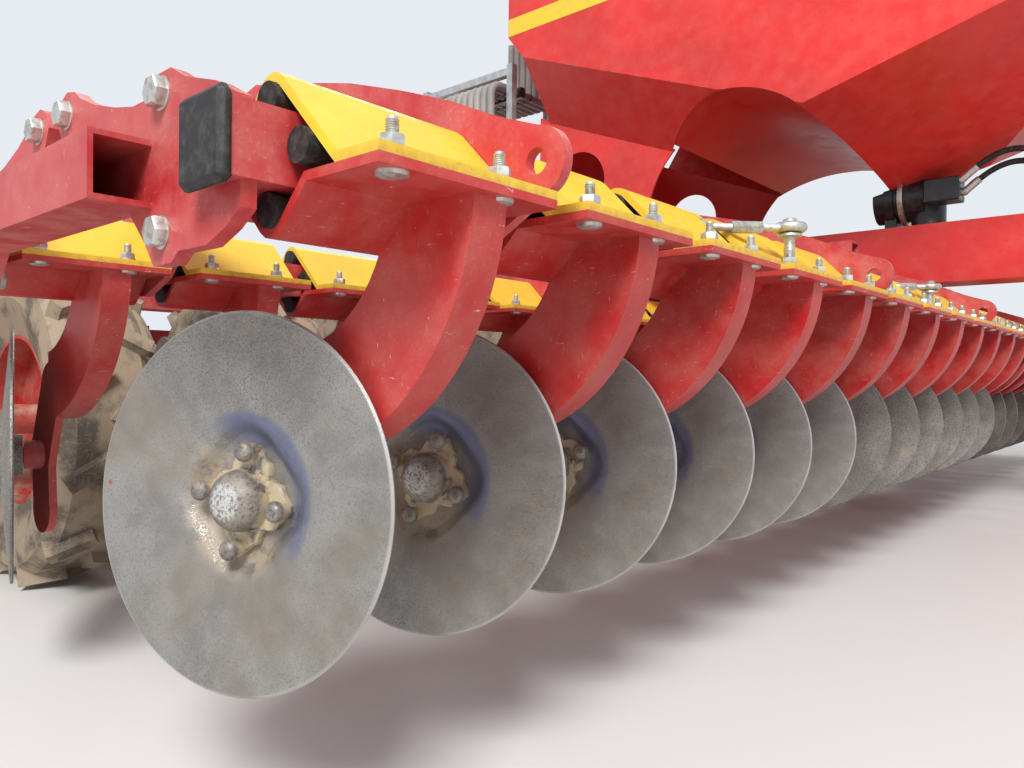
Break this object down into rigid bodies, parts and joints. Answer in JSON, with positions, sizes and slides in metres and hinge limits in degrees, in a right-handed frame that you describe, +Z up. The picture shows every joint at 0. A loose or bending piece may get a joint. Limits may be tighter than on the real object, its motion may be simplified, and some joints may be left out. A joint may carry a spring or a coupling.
{
  "type": "trailed folding disc seed drill",
  "caption": "Trailed seed drill with two rows of rubber-sprung discs, a wheel packer, seed coulters, a hopper over the centre section and two wings that fold up.",
  "frame": {"origin": "middle of the machine's footprint, on the floor", "axes": "+X forwards to the tow eye, +Y to the machine's left, +Z up"},
  "size_m": [8.04, 6.108, 2.7403],
  "materials": {
    "red_frame": "satin, dusty and worn at the edges",
    "red_panel": "gloss with light dust",
    "yellow_paint": "satin, scuffed edges",
    "disc_steel": "worn bare, speckled with soil",
    "cord_rubber": "matt",
    "tyre_rubber": "matt, muddy",
    "rod_chrome": "polished",
    "zinc_steel": "dull zinc",
    "cast_steel": "rough, worn bright in the bore",
    "grating_steel": "galvanised grating",
    "dark_cover": "satin",
    "black_paint": "satin",
    "grey_plastic": "moulded"
  },
  "bodies": {
    "root": {"centre_frame": "red_frame", "drawbar": "red_frame", "tow_eye": "cast_steel", "platform": "grating_steel", "hopper": "red_panel", "hopper_skirts": "red_panel", "metering": "black_paint", "distributor": "grey_plastic", "centre_clamps": "yellow_paint", "centre_arms": "red_frame", "centre_cords": "cord_rubber", "centre_discs": "disc_steel", "centre_coulters": "red_frame", "centre_press_wheels": "tyre_rubber"},
    "jack": {"jack_leg": "zinc_steel"},
    "lid": {"hopper_lid": "dark_cover"},
    "centre_front_packer": {"centre_front_rims": "red_panel", "centre_front_tyres": "tyre_rubber"},
    "centre_rear_packer": {"centre_rear_rims": "red_panel", "centre_rear_tyres": "tyre_rubber"},
    "right_wing": {"right_frame": "red_frame", "right_clamps": "yellow_paint", "right_arms": "red_frame", "right_cords": "cord_rubber", "right_discs": "disc_steel", "right_coulters": "red_frame", "right_press_wheels": "tyre_rubber"},
    "right_front_packer": {"right_front_rims": "red_panel", "right_front_tyres": "tyre_rubber"},
    "right_rear_packer": {"right_rear_rims": "red_panel", "right_rear_tyres": "tyre_rubber"},
    "right_fold_barrel": {"right_barrel": "red_panel"},
    "right_fold_rod": {"right_rod": "rod_chrome"},
    "right_spinning_disc_1": {"right_disc_1": "disc_steel"},
    "right_spinning_disc_2": {"right_disc_2": "disc_steel"},
    "right_spinning_disc_3": {"right_disc_3": "disc_steel"},
    "right_spinning_disc_4": {"right_disc_4": "disc_steel"},
    "right_spinning_disc_5": {"right_disc_5": "disc_steel"},
    "right_spinning_disc_6": {"right_disc_6": "disc_steel"},
    "left_wing": {"left_frame": "red_frame", "left_clamps": "yellow_paint", "left_arms": "red_frame", "left_cords": "cord_rubber", "left_discs": "disc_steel", "left_coulters": "red_frame", "left_press_wheels": "tyre_rubber"},
    "left_front_packer": {"left_front_rims": "red_panel", "left_front_tyres": "tyre_rubber"},
    "left_rear_packer": {"left_rear_rims": "red_panel", "left_rear_tyres": "tyre_rubber"},
    "left_fold_barrel": {"left_barrel": "red_panel"},
    "left_fold_rod": {"left_rod": "rod_chrome"},
    "left_spinning_disc_1": {"left_disc_1": "disc_steel"},
    "left_spinning_disc_2": {"left_disc_2": "disc_steel"},
    "left_spinning_disc_3": {"left_disc_3": "disc_steel"},
    "left_spinning_disc_4": {"left_disc_4": "disc_steel"},
    "left_spinning_disc_5": {"left_disc_5": "disc_steel"},
    "left_spinning_disc_6": {"left_disc_6": "disc_steel"}
  },
  "joints": [
    {"name": "jack_slide", "type": "slide", "parent": "root", "child": "jack", "axis": [0, 0, 1], "range_m": [0, 0.25]},
    {"name": "lid_hinge", "type": "hinge", "parent": "root", "child": "lid", "pos_m": [0, 0.76, 2.72], "axis": [-1, 0, 0], "range_deg": [0, 80]},
    {"name": "centre_front_packer_spin", "type": "hinge", "parent": "root", "child": "centre_front_packer", "pos_m": [-1.2, 0, 0.39], "axis": [0, 1, 0], "continuous": true},
    {"name": "centre_rear_packer_spin", "type": "hinge", "parent": "root", "child": "centre_rear_packer", "pos_m": [-1.7, 0, 0.39], "axis": [0, 1, 0], "continuous": true},
    {"name": "right_fold", "type": "hinge", "parent": "root", "child": "right_wing", "pos_m": [-0.045, -1, 0.915], "axis": [-1, 0, 0], "range_deg": [0, 90]},
    {"name": "right_barrel_swing", "type": "hinge", "parent": "root", "child": "right_fold_barrel", "pos_m": [-2.33, -0.3, 1.01], "axis": [-1, 0, 0], "range_deg": [0, 31]},
    {"name": "right_rod_stroke", "type": "slide", "parent": "right_fold_barrel", "child": "right_fold_rod", "axis": [0, -0.9998, -0.0217], "range_m": [-0.43, 0]},
    {"name": "right_front_packer_spin", "type": "hinge", "parent": "right_wing", "child": "right_front_packer", "pos_m": [-1.2, -2, 0.39], "axis": [0, 1, 0], "continuous": true},
    {"name": "right_rear_packer_spin", "type": "hinge", "parent": "right_wing", "child": "right_rear_packer", "pos_m": [-1.7, -2, 0.39], "axis": [0, 1, 0], "continuous": true},
    {"name": "right_disc_1_spin", "type": "hinge", "parent": "right_wing", "child": "right_spinning_disc_1", "pos_m": [0.187, -2.914, 0.378], "axis": [0.2753, -0.9599, 0.0523], "continuous": true},
    {"name": "right_disc_2_spin", "type": "hinge", "parent": "right_wing", "child": "right_spinning_disc_2", "pos_m": [0.187, -2.664, 0.378], "axis": [0.2753, -0.9599, 0.0523], "continuous": true},
    {"name": "right_disc_3_spin", "type": "hinge", "parent": "right_wing", "child": "right_spinning_disc_3", "pos_m": [0.187, -2.414, 0.378], "axis": [0.2753, -0.9599, 0.0523], "continuous": true},
    {"name": "right_disc_4_spin", "type": "hinge", "parent": "right_wing", "child": "right_spinning_disc_4", "pos_m": [0.187, -2.164, 0.378], "axis": [0.2753, -0.9599, 0.0523], "continuous": true},
    {"name": "right_disc_5_spin", "type": "hinge", "parent": "right_wing", "child": "right_spinning_disc_5", "pos_m": [0.187, -1.914, 0.378], "axis": [0.2753, -0.9599, 0.0523], "continuous": true},
    {"name": "right_disc_6_spin", "type": "hinge", "parent": "right_wing", "child": "right_spinning_disc_6", "pos_m": [0.187, -1.664, 0.378], "axis": [0.2753, -0.9599, 0.0523], "continuous": true},
    {"name": "left_fold", "type": "hinge", "parent": "root", "child": "left_wing", "pos_m": [-0.045, 1, 0.915], "axis": [1, 0, 0], "range_deg": [0, 90]},
    {"name": "left_barrel_swing", "type": "hinge", "parent": "root", "child": "left_fold_barrel", "pos_m": [-2.33, 0.3, 1.01], "axis": [1, 0, 0], "range_deg": [0, 31]},
    {"name": "left_rod_stroke", "type": "slide", "parent": "left_fold_barrel", "child": "left_fold_rod", "axis": [0, 0.9998, -0.0217], "range_m": [-0.43, 0]},
    {"name": "left_front_packer_spin", "type": "hinge", "parent": "left_wing", "child": "left_front_packer", "pos_m": [-1.2, 2, 0.39], "axis": [0, 1, 0], "continuous": true},
    {"name": "left_rear_packer_spin", "type": "hinge", "parent": "left_wing", "child": "left_rear_packer", "pos_m": [-1.7, 2, 0.39], "axis": [0, 1, 0], "continuous": true},
    {"name": "left_disc_1_spin", "type": "hinge", "parent": "left_wing", "child": "left_spinning_disc_1", "pos_m": [0.187, 2.914, 0.378], "axis": [0.2753, 0.9599, 0.0523], "continuous": true},
    {"name": "left_disc_2_spin", "type": "hinge", "parent": "left_wing", "child": "left_spinning_disc_2", "pos_m": [0.187, 2.664, 0.378], "axis": [0.2753, 0.9599, 0.0523], "continuous": true},
    {"name": "left_disc_3_spin", "type": "hinge", "parent": "left_wing", "child": "left_spinning_disc_3", "pos_m": [0.187, 2.414, 0.378], "axis": [0.2753, 0.9599, 0.0523], "continuous": true},
    {"name": "left_disc_4_spin", "type": "hinge", "parent": "left_wing", "child": "left_spinning_disc_4", "pos_m": [0.187, 2.164, 0.378], "axis": [0.2753, 0.9599, 0.0523], "continuous": true},
    {"name": "left_disc_5_spin", "type": "hinge", "parent": "left_wing", "child": "left_spinning_disc_5", "pos_m": [0.187, 1.914, 0.378], "axis": [0.2753, 0.9599, 0.0523], "continuous": true},
    {"name": "left_disc_6_spin", "type": "hinge", "parent": "left_wing", "child": "left_spinning_disc_6", "pos_m": [0.187, 1.664, 0.378], "axis": [0.2753, 0.9599, 0.0523], "continuous": true}
  ],
  "couplings": [
    {"joint": "right_barrel_swing", "follows": "right_fold", "ratio": 0.34051},
    {"joint": "right_rod_stroke", "follows": "right_fold", "m_per_rad": -0.27192},
    {"joint": "left_barrel_swing", "follows": "left_fold", "ratio": 0.34051},
    {"joint": "left_rod_stroke", "follows": "left_fold", "m_per_rad": -0.27192}
  ]
}
